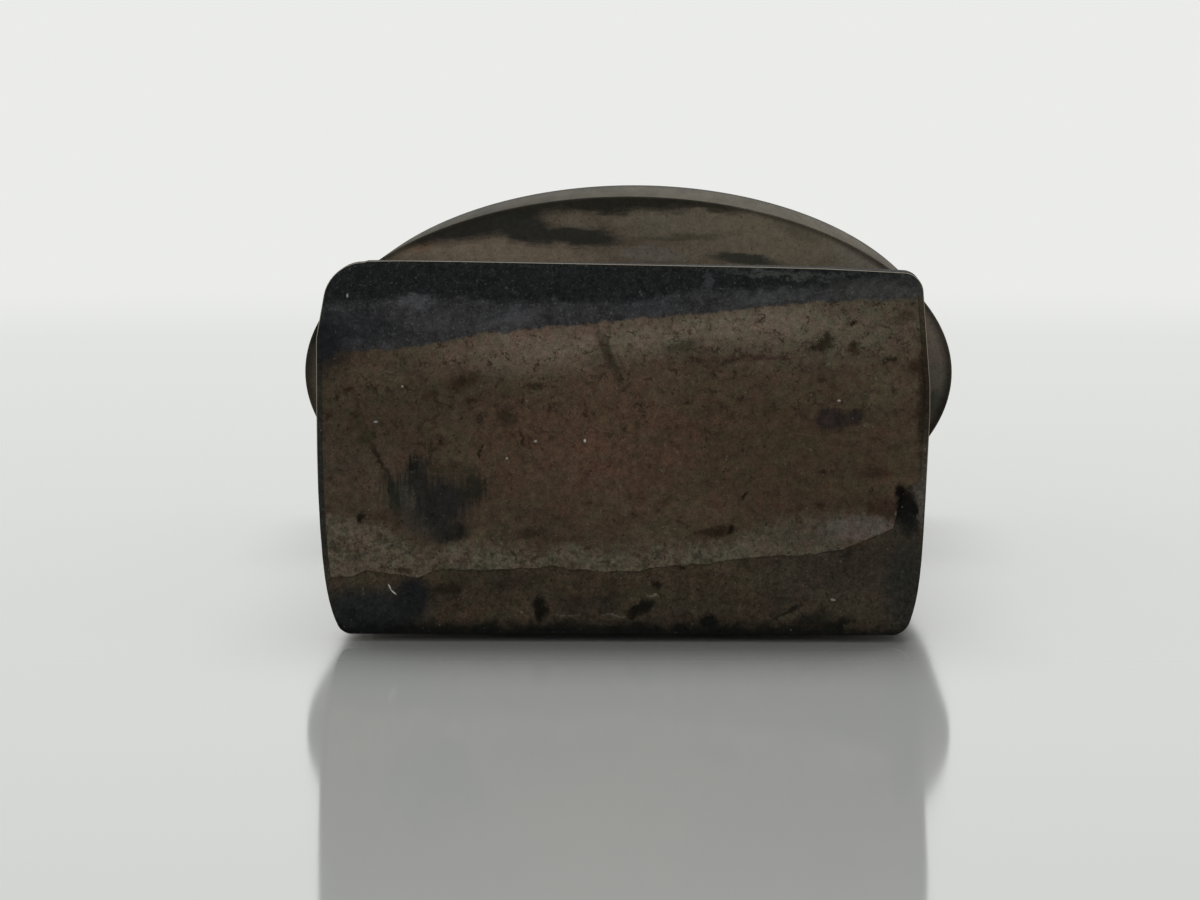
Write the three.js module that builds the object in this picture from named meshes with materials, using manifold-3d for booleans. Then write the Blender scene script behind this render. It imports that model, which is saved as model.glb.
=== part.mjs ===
// Wooden hand stamp with an oval printing face, lying on its broad side.
// Units are millimetres. +X is to the right, +Z is up, and +Y runs along the stamp,
// from the flared end of the grip to the printing face. Z = 0 is the surface it lies on.
import * as THREE from 'three';
import { mergeVertices } from 'three/addons/utils/BufferGeometryUtils.js';
import Module from 'manifold-3d';

// Grip: a length of waisted moulding whose cut ends are rounded over
const GRIP_WIDTH = 32.0;
const GRIP_LENGTH = 45.0;
const END_HEIGHT_LEFT = 19.5;
const END_HEIGHT_RIGHT = 18.95;
const END_BELLY_HEIGHT = 11.5;
const END_TUCK = 1.3;
const END_LEAN = 0.4;
const TOP_LEFT_RADIUS = 2.0;
const TOP_LEFT_FALL = 4.0;
const TOP_RIGHT_RADIUS = 1.3;
const BOTTOM_RADIUS = 0.5;
const END_EASE = 0.2;
const END_LAND = 1.0;
const WAIST_THICKNESS = 10.6;
const WAIST_DISTANCE = 32.0;
const GRIP_OFFSET = 0.5;

// Base: the oval block that carries the rubber
const BASE_WIDTH = 39.4;
const BASE_HEIGHT = 21.4;
const BASE_THICKNESS = 22.5;
const BASE_EASE = 0.3;

// Dowels: two glued pegs that join the grip to the base
const DOWEL_DIAMETER = 5.0;
const DOWEL_LENGTH = 28.0;
const DOWEL_SPACING = 16.0;
const DOWEL_CHAMFER = 0.6;
const DOWEL_CLEARANCE = 0.15;
const DOWEL_END_CLEARANCE = 0.5;

// Cushion: the soft sheet between the base and the rubber
const CUSHION_THICKNESS = 2.5;
const CUSHION_INSET = 0.6;
const CUSHION_BULGE = 0.2;

// Rubber die: a backing sheet with a raised border, beads and two plain rules
const DIE_INSET = 1.0;
const DIE_BACKING = 1.2;
const RELIEF_HEIGHT = 1.0;
const RELIEF_DRAFT = 0.2;
const BORDER_INSET = 0.5;
const BORDER_WIDTH = 0.9;
const BEAD_DIAMETER = 0.9;
const BEAD_GAP = 0.5;
const BEAD_COUNT = 48;
const INNER_RING_WIDTH = 0.5;
const RULE_WIDTH = 0.6;
const RULE_SPACING = 4.8;
const RULE_END_GAP = 0.7;

// Paper label: the torn remains of a blank label pasted on the end of the grip
const LABEL_THICKNESS = 0.15;
const LABEL_MARGIN = 0.3;
const TEAR_LEFT = 3.1;
const TEAR_MIDDLE = 3.4;
const TEAR_RIGHT = 4.6;
const TEAR_RIGHT_MARGIN = 5.0;
const TEAR_TIP = 5.6;
const TEAR_TIP_MARGIN = 1.8;
const TEAR_CORNER = 8.0;
const TEAR_CORNER_MARGIN = 1.3;

// Facets
const OVAL_SEGMENTS = 96;
const FLANK_SEGMENTS = 14;
const DOWEL_SEGMENTS = 16;
const BEAD_SEGMENTS = 8;

// Reach of a cutting solid past the piece that it cuts
const OVERSHOOT = 1.0;

// Shared places along the stamp, measured from the end of the grip
const endTop = Math.max(END_HEIGHT_LEFT, END_HEIGHT_RIGHT);
const gripAxisHeight = (END_HEIGHT_LEFT + END_HEIGHT_RIGHT) / 4;
const baseAxisHeight = BASE_HEIGHT / 2;
const baseBack = GRIP_LENGTH + BASE_THICKNESS;
const cushionBack = baseBack + CUSHION_THICKNESS;
const backingBack = cushionBack + DIE_BACKING;
const printingFace = backingBack + RELIEF_HEIGHT;
const dowelReach = DOWEL_LENGTH / 2 + DOWEL_END_CLEARANCE;

// A shape drawn in X and Z is pushed along +Y; one drawn in Y and Z is pushed along +X
const ALONG_Y = new THREE.Matrix4().makeRotationX(Math.PI / 2);
const ALONG_X = new THREE.Matrix4().makeBasis(
  new THREE.Vector3(0, 1, 0),
  new THREE.Vector3(0, 0, 1),
  new THREE.Vector3(1, 0, 0),
);

const wasm = await Module();
wasm.setup();

function toSolid(geometry) {
  const bare = geometry.clone();
  bare.deleteAttribute('normal');
  bare.deleteAttribute('uv');
  const merged = mergeVertices(bare);
  return new wasm.Manifold(new wasm.Mesh({
    numProp: 3,
    vertProperties: new Float32Array(merged.attributes.position.array),
    triVerts: new Uint32Array(merged.index.array),
  }));
}

function toGeometry(solid) {
  const mesh = solid.getMesh();
  const geometry = new THREE.BufferGeometry();
  geometry.setAttribute('position', new THREE.BufferAttribute(mesh.vertProperties, 3));
  geometry.setIndex(new THREE.BufferAttribute(mesh.triVerts, 1));
  geometry.computeVertexNormals();
  return geometry;
}

// Pushes a shape drawn in X and Z from y = start to y = end, with its edges eased by a bevel
function pushAlongY(shape, start, end, { ease = 0, segments = FLANK_SEGMENTS } = {}) {
  const geometry = new THREE.ExtrudeGeometry(shape, {
    depth: end - start - 2 * ease,
    curveSegments: segments,
    bevelEnabled: ease > 0,
    bevelThickness: ease,
    bevelSize: ease,
    bevelOffset: -ease,
    bevelSegments: 1,
  });
  geometry.applyMatrix4(ALONG_Y);
  return geometry.translate(0, end - ease, 0);
}

function ovalShape(halfWidth, halfHeight) {
  const shape = new THREE.Shape();
  shape.absellipse(0, baseAxisHeight, halfWidth, halfHeight, 0, 2 * Math.PI);
  return shape;
}

// Oval that lies inside the edge of the base by an even margin
function insetOval(margin) {
  return ovalShape(BASE_WIDTH / 2 - margin, BASE_HEIGHT / 2 - margin);
}

// A round peg along Y, with both ends chamfered
function peg(radius, length, chamfer, segments) {
  const profile = [
    new THREE.Vector2(0, -length / 2),
    new THREE.Vector2(radius - chamfer, -length / 2),
    new THREE.Vector2(radius, -length / 2 + chamfer),
    new THREE.Vector2(radius, length / 2 - chamfer),
    new THREE.Vector2(radius - chamfer, length / 2),
    new THREE.Vector2(0, length / 2),
  ];
  return new THREE.LatheGeometry(profile, segments);
}

function dowelPlaces() {
  return [-1, 1].map((side) => new THREE.Vector3(
    GRIP_OFFSET + side * DOWEL_SPACING / 2,
    GRIP_LENGTH,
    gripAxisHeight,
  ));
}

function cutDowelHoles(solid) {
  let cut = solid;
  for (const place of dowelPlaces()) {
    const hole = new THREE.CylinderGeometry(
      DOWEL_DIAMETER / 2 + DOWEL_CLEARANCE,
      DOWEL_DIAMETER / 2 + DOWEL_CLEARANCE,
      2 * dowelReach,
      DOWEL_SEGMENTS,
    );
    hole.translate(place.x, place.y, place.z);
    cut = cut.subtract(toSolid(hole));
  }
  return cut;
}

// Outline of the grip's end, or one that lies inside it by an even margin:
// bellied flanks that tuck in at the foot, and unequal top corners
function gripEndShape(margin = 0) {
  const half = GRIP_WIDTH / 2 - margin;
  const foot = half - END_TUCK;
  const topLeft = END_HEIGHT_LEFT - margin;
  const topRight = END_HEIGHT_RIGHT - margin;
  const shape = new THREE.Shape();
  shape.moveTo(-foot + BOTTOM_RADIUS, margin);
  shape.lineTo(foot - BOTTOM_RADIUS, margin);
  shape.quadraticCurveTo(foot, margin, foot + BOTTOM_RADIUS / 2, margin + BOTTOM_RADIUS);
  shape.quadraticCurveTo(half, END_BELLY_HEIGHT / 4, half, END_BELLY_HEIGHT);
  shape.lineTo(half - END_LEAN, topRight - TOP_RIGHT_RADIUS);
  shape.quadraticCurveTo(
    half - END_LEAN, topRight,
    half - END_LEAN - TOP_RIGHT_RADIUS, topRight,
  );
  shape.lineTo(-half + END_LEAN + TOP_LEFT_RADIUS, topLeft);
  shape.quadraticCurveTo(-half + END_LEAN / 2, topLeft, -half, topLeft - TOP_LEFT_FALL);
  shape.lineTo(-half, END_BELLY_HEIGHT);
  shape.quadraticCurveTo(
    -half, END_BELLY_HEIGHT / 4,
    -foot - BOTTOM_RADIUS / 2, margin + BOTTOM_RADIUS,
  );
  shape.quadraticCurveTo(-foot, margin, -foot + BOTTOM_RADIUS, margin);
  return shape;
}

// Side view of the grip in Y and Z: a short land at the end, then one long cove above and below
function gripSideShape() {
  const waistTop = gripAxisHeight + WAIST_THICKNESS / 2;
  const waistBottom = gripAxisHeight - WAIST_THICKNESS / 2;
  const run = WAIST_DISTANCE - END_LAND;
  const back = GRIP_LENGTH - WAIST_DISTANCE;
  const coveRadius = (depth) => (run * run + depth * depth) / (2 * depth);
  const upperRadius = coveRadius(endTop - waistTop);
  const lowerRadius = coveRadius(waistBottom);
  const shape = new THREE.Shape();
  shape.moveTo(-OVERSHOOT, -OVERSHOOT);
  shape.lineTo(END_LAND, -OVERSHOOT);
  shape.absarc(
    WAIST_DISTANCE, waistBottom - lowerRadius, lowerRadius,
    Math.PI / 2 + Math.asin(run / lowerRadius), Math.PI / 2 - Math.asin(back / lowerRadius), true,
  );
  shape.absarc(
    WAIST_DISTANCE, waistTop + upperRadius, upperRadius,
    -Math.PI / 2 + Math.asin(back / upperRadius), -Math.PI / 2 - Math.asin(run / upperRadius), true,
  );
  shape.lineTo(END_LAND, endTop + OVERSHOOT);
  shape.lineTo(-OVERSHOOT, endTop + OVERSHOOT);
  return shape;
}

function gripGeometry() {
  const bar = pushAlongY(gripEndShape(), 0, GRIP_LENGTH + OVERSHOOT, { ease: END_EASE });
  const moulding = new THREE.ExtrudeGeometry(gripSideShape(), {
    depth: GRIP_WIDTH + 2 * OVERSHOOT,
    curveSegments: FLANK_SEGMENTS,
    bevelEnabled: false,
  });
  moulding.applyMatrix4(ALONG_X);
  moulding.translate(-GRIP_WIDTH / 2 - OVERSHOOT, 0, 0);
  const grip = toSolid(bar).intersect(toSolid(moulding)).translate([GRIP_OFFSET, 0, 0]);
  return toGeometry(cutDowelHoles(grip));
}

function baseGeometry() {
  const block = pushAlongY(insetOval(0), GRIP_LENGTH, baseBack, {
    ease: BASE_EASE,
    segments: OVAL_SEGMENTS / 2,
  });
  return toGeometry(cutDowelHoles(toSolid(block)));
}

// The sheet is pressed by the printing strokes, so its edge swells between its two faces
function cushionGeometry() {
  const middle = CUSHION_THICKNESS / 2;
  const geometry = new THREE.ExtrudeGeometry(insetOval(CUSHION_INSET), {
    depth: 0,
    curveSegments: OVAL_SEGMENTS / 2,
    bevelThickness: middle,
    bevelSize: CUSHION_BULGE,
    bevelOffset: -CUSHION_BULGE,
    bevelSegments: 2,
  });
  geometry.applyMatrix4(ALONG_Y);
  return toGeometry(toSolid(geometry.translate(0, baseBack + middle, 0)));
}

// Raised work widens towards the backing, as moulded rubber does, and its root is buried there
function reliefSolid(shape, segments) {
  const geometry = new THREE.ExtrudeGeometry(shape, {
    depth: DIE_BACKING,
    curveSegments: segments,
    bevelThickness: RELIEF_HEIGHT,
    bevelSize: RELIEF_DRAFT,
    bevelSegments: 1,
  });
  geometry.applyMatrix4(ALONG_Y);
  geometry.translate(0, backingBack, 0);
  const keep = pushAlongY(insetOval(0), cushionBack + DIE_BACKING / 2, printingFace + OVERSHOOT);
  return toSolid(geometry).intersect(toSolid(keep));
}

function ringShape(margin, width) {
  const ring = insetOval(margin);
  ring.holes.push(insetOval(margin + width));
  return ring;
}

function rubberDieGeometry() {
  const borderMargin = DIE_INSET + BORDER_INSET;
  const beadMargin = borderMargin + BORDER_WIDTH + BEAD_GAP + BEAD_DIAMETER / 2;
  const innerMargin = beadMargin + BEAD_DIAMETER / 2 + BEAD_GAP;
  const fieldMargin = innerMargin + INNER_RING_WIDTH;
  const fieldHalfWidth = BASE_WIDTH / 2 - fieldMargin;
  const fieldHalfHeight = BASE_HEIGHT / 2 - fieldMargin;

  const backing = pushAlongY(insetOval(DIE_INSET), cushionBack, backingBack, {
    segments: OVAL_SEGMENTS / 2,
  });
  let die = toSolid(backing);
  die = die.add(reliefSolid(ringShape(borderMargin, BORDER_WIDTH), OVAL_SEGMENTS / 2));
  die = die.add(reliefSolid(ringShape(innerMargin, INNER_RING_WIDTH), OVAL_SEGMENTS / 2));

  const beadTrack = insetOval(beadMargin).getSpacedPoints(BEAD_COUNT).slice(0, BEAD_COUNT);
  for (const place of beadTrack) {
    const bead = new THREE.Shape();
    bead.absellipse(place.x, place.y, BEAD_DIAMETER / 2, BEAD_DIAMETER / 2, 0, 2 * Math.PI);
    die = die.add(reliefSolid(bead, BEAD_SEGMENTS / 2));
  }

  const ruleRise = RULE_SPACING / 2;
  const ruleHalfLength = fieldHalfWidth * Math.sqrt(1 - (ruleRise / fieldHalfHeight) ** 2) - RULE_END_GAP;
  for (const side of [-1, 1]) {
    const height = baseAxisHeight + side * ruleRise;
    const rule = new THREE.Shape();
    rule.moveTo(-ruleHalfLength, height - RULE_WIDTH / 2);
    rule.lineTo(ruleHalfLength, height - RULE_WIDTH / 2);
    rule.lineTo(ruleHalfLength, height + RULE_WIDTH / 2);
    rule.lineTo(-ruleHalfLength, height + RULE_WIDTH / 2);
    die = die.add(reliefSolid(rule, 1));
  }
  return toGeometry(die);
}

// The label was trimmed to the end of the grip. Its lower edge is torn, to a point near the right
function paperLabelGeometry() {
  const half = GRIP_WIDTH / 2;
  const top = endTop + OVERSHOOT;
  const kept = new THREE.Shape();
  kept.moveTo(-half, TEAR_LEFT);
  kept.splineThru([
    new THREE.Vector2(0, TEAR_MIDDLE),
    new THREE.Vector2(half - TEAR_RIGHT_MARGIN, TEAR_RIGHT),
    new THREE.Vector2(half - TEAR_TIP_MARGIN, TEAR_TIP),
  ]);
  kept.lineTo(half - TEAR_CORNER_MARGIN, TEAR_CORNER);
  kept.lineTo(half, TEAR_CORNER);
  kept.lineTo(half, top);
  kept.lineTo(-half, top);
  const sheet = toSolid(pushAlongY(gripEndShape(LABEL_MARGIN), -LABEL_THICKNESS, 0));
  const remains = toSolid(pushAlongY(kept, -LABEL_THICKNESS - OVERSHOOT, OVERSHOOT));
  return toGeometry(sheet.intersect(remains).translate([GRIP_OFFSET, 0, 0]));
}

function finish(color, roughness) {
  return new THREE.MeshStandardMaterial({ color, roughness, metalness: 0 });
}

function piece(name, geometry, material) {
  const mesh = new THREE.Mesh(geometry, material);
  mesh.name = name;
  return mesh;
}

const stamp = new THREE.Group();
stamp.add(piece('grip', gripGeometry(), finish(0x3a3128, 0.55)));
stamp.add(piece('base', baseGeometry(), finish(0x4c443a, 0.45)));
stamp.add(piece('cushion', cushionGeometry(), finish(0x77705f, 0.95)));
stamp.add(piece('rubber_die', rubberDieGeometry(), finish(0x4a2b24, 0.7)));
stamp.add(piece('paper_label', paperLabelGeometry(), finish(0x463a2f, 0.85)));

const dowelNames = ['dowel_left', 'dowel_right'];
dowelPlaces().forEach((place, index) => {
  const geometry = peg(DOWEL_DIAMETER / 2, DOWEL_LENGTH, DOWEL_CHAMFER, DOWEL_SEGMENTS);
  const dowel = piece(dowelNames[index], geometry, finish(0xb39a6c, 0.7));
  dowel.position.copy(place);
  stamp.add(dowel);
});

// The origin lies on the surface, under the middle of the stamp
stamp.position.y = -(printingFace - LABEL_THICKNESS) / 2;

export default stamp;
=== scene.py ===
"""Old wooden hand stamp, stained with ink: it lies on its broad side, and is seen from the grip's end."""
import math
from typing import NamedTuple

import bmesh
import bpy
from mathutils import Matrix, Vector, noise


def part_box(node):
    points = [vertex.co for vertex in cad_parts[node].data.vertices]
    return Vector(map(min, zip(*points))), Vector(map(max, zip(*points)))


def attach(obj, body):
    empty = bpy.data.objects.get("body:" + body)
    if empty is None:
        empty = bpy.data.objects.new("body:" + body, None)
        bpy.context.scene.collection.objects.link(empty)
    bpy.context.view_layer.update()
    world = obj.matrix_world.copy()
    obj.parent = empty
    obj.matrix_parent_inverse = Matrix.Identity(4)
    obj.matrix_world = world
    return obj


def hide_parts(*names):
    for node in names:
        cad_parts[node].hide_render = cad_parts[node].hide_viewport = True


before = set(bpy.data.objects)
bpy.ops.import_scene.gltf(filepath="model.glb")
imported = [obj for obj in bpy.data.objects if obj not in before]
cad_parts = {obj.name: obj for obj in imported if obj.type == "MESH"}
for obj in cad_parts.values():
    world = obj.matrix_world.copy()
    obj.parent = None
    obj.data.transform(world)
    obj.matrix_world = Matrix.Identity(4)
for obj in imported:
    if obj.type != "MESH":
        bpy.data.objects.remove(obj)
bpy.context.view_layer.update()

MM = 0.001

# Places taken from the frame
grip_low, grip_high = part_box("grip")
base_low, base_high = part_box("base")
cushion_low, cushion_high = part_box("cushion")
die_low, die_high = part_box("rubber_die")
dowel_boxes = [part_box("dowel_left"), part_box("dowel_right")]
grip_middle = (grip_low + grip_high) / 2
base_middle = (base_low + base_high) / 2
end_plane = grip_low.y
shoulder_plane = base_low.y

# All lengths below are in millimetres

# Grip
END_HEIGHT_LEFT = grip_high.z / MM
END_HEIGHT_RIGHT = 18.95
END_CROWN = 0.15
CROWN_REACH = 14.0
CROWN_COLUMNS = (-12.8, -11.0, -8.0, 0.0, 8.0, 11.0, 13.0)
BELLY_HEIGHT = 11.5
HEEL_ROWS = (0.8, 1.2, 1.7, 2.3, 3.0, 4.0, 5.5, 7.5, 9.5)
TOP_LEFT_RADIUS = 1.75
TOP_RIGHT_RADIUS = 0.95
BOTTOM_LEFT_RADIUS = 0.45
BOTTOM_RIGHT_RADIUS = 0.6
END_LAND = 1.0
WAIST_THICKNESS = 10.6
WAIST_DISTANCE = 32.0
END_ARRIS = 0.05
HANDLED_ARRIS = 0.35


class Flank(NamedTuple):
    """A flank of the grip: tucked in below its belly, more so at its heel, and leaning in higher up."""
    tuck: float
    tuck_curve: float
    heel: float
    heel_curve: float
    lean: float
    lean_from: float
    top: float


LEFT_FLANK = Flank(0.69, 2.2, 0.62, 9.0, 0.72, 15.5, END_HEIGHT_LEFT)
RIGHT_FLANK = Flank(0.57, 1.0, 0.75, 7.5, 0.45, 13.0, END_HEIGHT_RIGHT)

# Base
SHOULDER_ARRIS = 0.16
BACK_ARRIS = 0.4

# Dowel holes
DOWEL_CLEARANCE = 0.15
DOWEL_END_CLEARANCE = 0.5

# Cushion
CUSHION_SWELL = 0.5

# Rubber die
RELIEF_HEIGHT = 1.0
RELIEF_DRAFT = 0.2
RELIEF_ROOT = 0.2
BORDER_INSET = 0.5
BORDER_WIDTH = 0.9
BEAD_DIAMETER = 0.9
BEAD_GAP = 0.5
BEAD_COUNT = 48
INNER_RING_WIDTH = 0.5
RULE_WIDTH = 0.6
RULE_SPACING = 4.8
RULE_END_GAP = 0.7
RUBBER_ARRIS = 0.06

# Paper label
PAPER_THICKNESS = 0.07
PAPER_COCKLE = 0.03
COCKLE_WIDTH = 3.0
COCKLE_HEIGHT = 2.0
TEAR_LIFT = 0.05
LIFT_REACH = 0.5
CURL_WIDTH = 1.5
RAG_DEPTH = 0.10
RAG_WIDTH = 0.9
FIBRE_DEPTH = 0.05
FIBRE_WIDTH = 0.28
LABEL_MARGIN = 0.32
TRIM_DEPTH = 2.0

# The label's torn edge, and where the bare fibres along it end, as places across and heights
TEAR_LINE = [
    (-16.0, 3.0), (-13.6, 3.05), (-12.9, 3.35), (-10.2, 3.0), (-9.3, 3.4), (-6.0, 3.4),
    (-3.2, 3.6), (-1.0, 3.35), (1.2, 3.35), (2.0, 3.55), (4.8, 3.75), (7.0, 4.05),
    (10.6, 4.3), (12.0, 4.5), (14.6, 5.6), (15.1, 7.6), (15.7, 8.05), (17.0, 8.1),
]
BARE_EDGE = [
    (-16.0, 6.4), (-13.0, 6.0), (-11.5, 5.4), (-9.8, 4.4), (-8.0, 4.9), (-6.0, 4.6),
    (-4.0, 4.5), (-2.0, 4.8), (0.0, 4.5), (3.5, 4.7), (6.0, 5.0), (8.0, 5.9),
    (10.0, 6.3), (12.6, 6.45), (13.6, 6.2), (14.6, 5.6), (17.0, 5.6),
]

# Stage: the floor lies a hair below the stamp, which gives the dark gap seen under its end
FLOOR_GAP = 0.4
FLOOR_SIZE = 6000.0
FLOOR_FADES_FROM = 230.0
FLOOR_FADES_TO = 320.0

# Camera, fitted to the photograph's 1200 by 900 frame
CAMERA_PLACE = (5.29, -265.9, 31.76)
CAMERA_YAW = 1.289
CAMERA_PITCH = 4.744
CAMERA_LENS = 153.5


class Mark(NamedTuple):
    """A stain seen from the end: its middle, half sizes, turn in degrees, colour, strength and soft rim."""
    x: float
    z: float
    wide: float
    high: float
    turn: float
    colour: str
    strength: float
    soft: float


# Lower edges of the two inks on the grip's end, and how far the inks ran down its sides
SMEAR_EDGE = [
    (-16.5, 13.9), (-14.2, 14.8), (-10.5, 15.05), (-6.9, 15.75),
    (-0.9, 16.35), (5.2, 16.9), (9.0, 17.3), (17.5, 17.75),
]
BLACK_EDGE = [
    (-16.5, 17.3), (-9.0, 17.6), (-4.0, 17.45), (1.0, 17.35),
    (4.5, 18.1), (8.0, 17.95), (17.5, 18.25),
]
INK_FULL_TO = 3.0
INK_GONE_AT = 9.0

# Upper edge of the dark band along the foot of the end: ink grime, and painted shade where the lower edge
# meets the floor
FOOT_EDGE = [
    (-17.0, 0.6), (-6.0, 0.65), (0.5, 0.65), (2.0, 0.6),
    (8.0, 0.55), (12.0, 0.55), (13.0, 0.35), (17.0, 0.25),
]

# Heights between which the painted highlight on the edge round the end begins to show
HIGHLIGHT_FROM = 7.0
HIGHLIGHT_TO = 9.5

LINT_GREY = "#b5b4b0"

PAPER_MARKS = [
    # Washes: tan under the ink, red where old paste shows, olive to the right and left; paler high up and
    # darker low down, partly stain and partly painted light from above
    Mark(-3.5, 15.0, 5.5, 1.2, 4, "#594f45", 0.85, 0.8),
    Mark(5.0, 16.0, 6.0, 0.9, 5, "#595046", 0.85, 0.8),
    Mark(11.0, 15.9, 5.0, 1.4, 3, "#4e483e", 0.8, 0.9),
    Mark(-11.5, 12.0, 5.0, 2.6, 0, "#352e25", 0.8, 0.9),
    Mark(0.0, 10.0, 6.0, 2.9, 0, "#43342a", 0.9, 0.9),
    Mark(3.0, 13.2, 3.5, 0.8, 0, "#43392f", 0.7, 0.9),
    Mark(9.2, 9.6, 6.0, 3.4, 0, "#372e24", 0.9, 0.9),
    Mark(5.0, 6.6, 1.8, 0.7, 0, "#41362b", 0.8, 0.9),
    Mark(8.0, 16.4, 2.5, 0.6, 4, "#5a5349", 0.6, 0.8),
    Mark(-12.0, 13.6, 1.8, 0.7, 0, "#41382e", 0.65, 0.8),
    Mark(14.0, 13.2, 1.5, 1.2, 0, "#433b30", 0.7, 0.9),
    Mark(-13.6, 8.6, 2.0, 1.6, 0, "#39312a", 0.7, 0.9),
    # Bare fibres rubbed smooth towards the tip
    Mark(10.4, 5.3, 2.4, 0.8, 6, "#3a3730", 0.6, 0.8),
    Mark(6.8, 4.5, 1.6, 0.35, 4, "#4d473d", 0.6, 0.7),
    # Dark foot of the brushed smudge
    Mark(-8.5, 5.35, 1.0, 0.5, 8, "#131210", 0.95, 0.5),
    # Dark spots and short cracks
    Mark(-10.9, 3.35, 0.35, 0.16, 0, "#261b15", 0.8, 0.6),
    Mark(-5.2, 4.2, 0.1, 0.3, 35, "#231e18", 0.8, 0.6),
    Mark(-4.1, 4.0, 0.3, 0.1, 25, "#231e18", 0.8, 0.6),
    Mark(-13.8, 12.8, 0.3, 0.14, 25, "#1d160f", 0.9, 0.6),
    Mark(-14.4, 12.4, 0.12, 0.2, 0, "#1d160f", 0.85, 0.6),
    Mark(-14.8, 11.5, 0.2, 0.25, 0, "#26211b", 0.7, 0.6),
    Mark(-13.4, 11.4, 0.5, 0.45, 0, "#2b271c", 0.7, 0.7),
    Mark(-12.9, 10.4, 0.3, 0.7, 25, "#29251b", 0.75, 0.7),
    Mark(-12.2, 9.1, 0.14, 0.9, 28, "#1d1913", 0.9, 0.6),
    Mark(-7.8, 13.3, 0.8, 0.36, 15, "#261c15", 0.85, 0.7),
    Mark(-7.4, 12.25, 0.34, 0.18, 0, "#1f1811", 0.88, 0.6),
    Mark(-9.5, 12.6, 0.36, 0.26, 20, "#2a2119", 0.8, 0.7),
    Mark(-9.2, 11.9, 0.1, 0.7, -6, "#2b231b", 0.8, 0.6),
    Mark(-5.55, 11.4, 0.45, 0.55, 10, "#26221a", 0.85, 0.6),
    Mark(0.4, 13.3, 0.2, 0.26, 0, "#2a241b", 0.8, 0.6),
    Mark(-4.8, 10.3, 0.09, 0.5, 4, "#1c1710", 0.9, 0.6),
    Mark(-4.7, 12.3, 0.07, 0.4, -8, "#211b14", 0.85, 0.6),
    Mark(-4.1, 13.0, 0.65, 0.12, 0, "#271f17", 0.82, 0.6),
    Mark(-6.9, 9.7, 0.1, 0.4, -25, "#1c1610", 0.92, 0.5),
    Mark(-13.2, 6.1, 0.24, 0.3, 0, "#120e09", 0.95, 0.45),
    Mark(6.85, 7.3, 0.11, 0.26, -40, "#120e09", 0.95, 0.5),
    Mark(0.85, 7.2, 0.26, 0.22, 0, "#2a241d", 0.7, 0.6),
    Mark(10.9, 8.6, 0.18, 0.16, 0, "#1f1912", 0.85, 0.6),
    Mark(10.8, 6.8, 0.16, 0.16, 0, "#211b15", 0.8, 0.6),
    Mark(2.4, 6.5, 0.25, 0.16, 0, "#2a2019", 0.8, 0.6),
    Mark(5.4, 5.4, 0.9, 0.26, 4, "#1e1812", 0.88, 0.6),
    Mark(6.2, 5.55, 0.14, 0.18, 0, "#110d09", 0.92, 0.5),
    Mark(-4.3, 5.35, 0.8, 0.28, 4, "#28251e", 0.8, 0.6),
    Mark(-1.3, 4.5, 0.22, 0.14, 30, "#2b1c12", 0.85, 0.6),
    Mark(8.2, 11.7, 0.4, 0.3, 20, "#2b251b", 0.65, 0.7),
    # Streak below the ink and the smudges beside it
    Mark(-0.6, 14.4, 0.7, 0.6, 0, "#3a352b", 0.6, 0.8),
    Mark(-0.3, 14.7, 0.24, 1.3, 22, "#28241c", 0.85, 0.7),
    Mark(3.6, 15.1, 1.0, 0.4, 10, "#2c271f", 0.75, 0.7),
    Mark(7.4, 14.5, 2.6, 0.1, 2, "#30221f", 0.75, 0.7),
    Mark(10.8, 15.15, 0.6, 0.34, 20, "#1f1a13", 0.92, 0.5),
    Mark(11.2, 15.55, 0.3, 0.3, 0, "#1f1a13", 0.88, 0.55),
    Mark(12.5, 15.0, 0.35, 0.35, 0, "#241d16", 0.9, 0.55),
    Mark(12.5, 16.35, 0.18, 0.18, 0, "#17110b", 0.95, 0.5),
    Mark(14.4, 14.45, 0.4, 0.14, 10, "#1d170f", 0.85, 0.6),
    Mark(15.0, 16.6, 0.6, 0.25, 15, "#2a251c", 0.75, 0.7),
    # Purple blot
    Mark(11.3, 11.3, 0.75, 0.62, 0, "#221d1c", 0.93, 0.35),
    Mark(12.5, 11.4, 0.62, 0.42, 10, "#221d1b", 0.93, 0.35),
    Mark(11.2, 11.35, 0.35, 0.25, 0, "#302a29", 0.5, 0.7),
    # Grime about the tip and along the right side, a painted highlight on the torn edge at the tip, and ink
    # along the left
    Mark(14.0, 6.7, 0.9, 0.6, -20, "#2e231d", 0.9, 0.5),
    Mark(12.8, 5.65, 1.85, 0.62, 2, "#4b4440", 0.8, 0.3),
    Mark(13.8, 8.5, 0.9, 0.3, 0, "#281f18", 0.75, 0.7),
    Mark(15.3, 6.6, 0.5, 1.2, 8, "#080807", 0.97, 0.35),
    Mark(15.0, 7.4, 0.22, 0.65, 14, "#080807", 0.95, 0.45),
    Mark(14.9, 6.0, 0.05, 0.45, 12, "#6a6560", 0.8, 0.5),
    Mark(16.2, 12.0, 0.34, 3.4, 0, "#1d1812", 0.85, 0.6),
    Mark(15.75, 14.1, 0.4, 0.4, 0, "#261f17", 0.85, 0.6),
    Mark(-15.6, 8.0, 0.3, 5.0, 0, "#1e1f1e", 0.75, 0.7),
]

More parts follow.
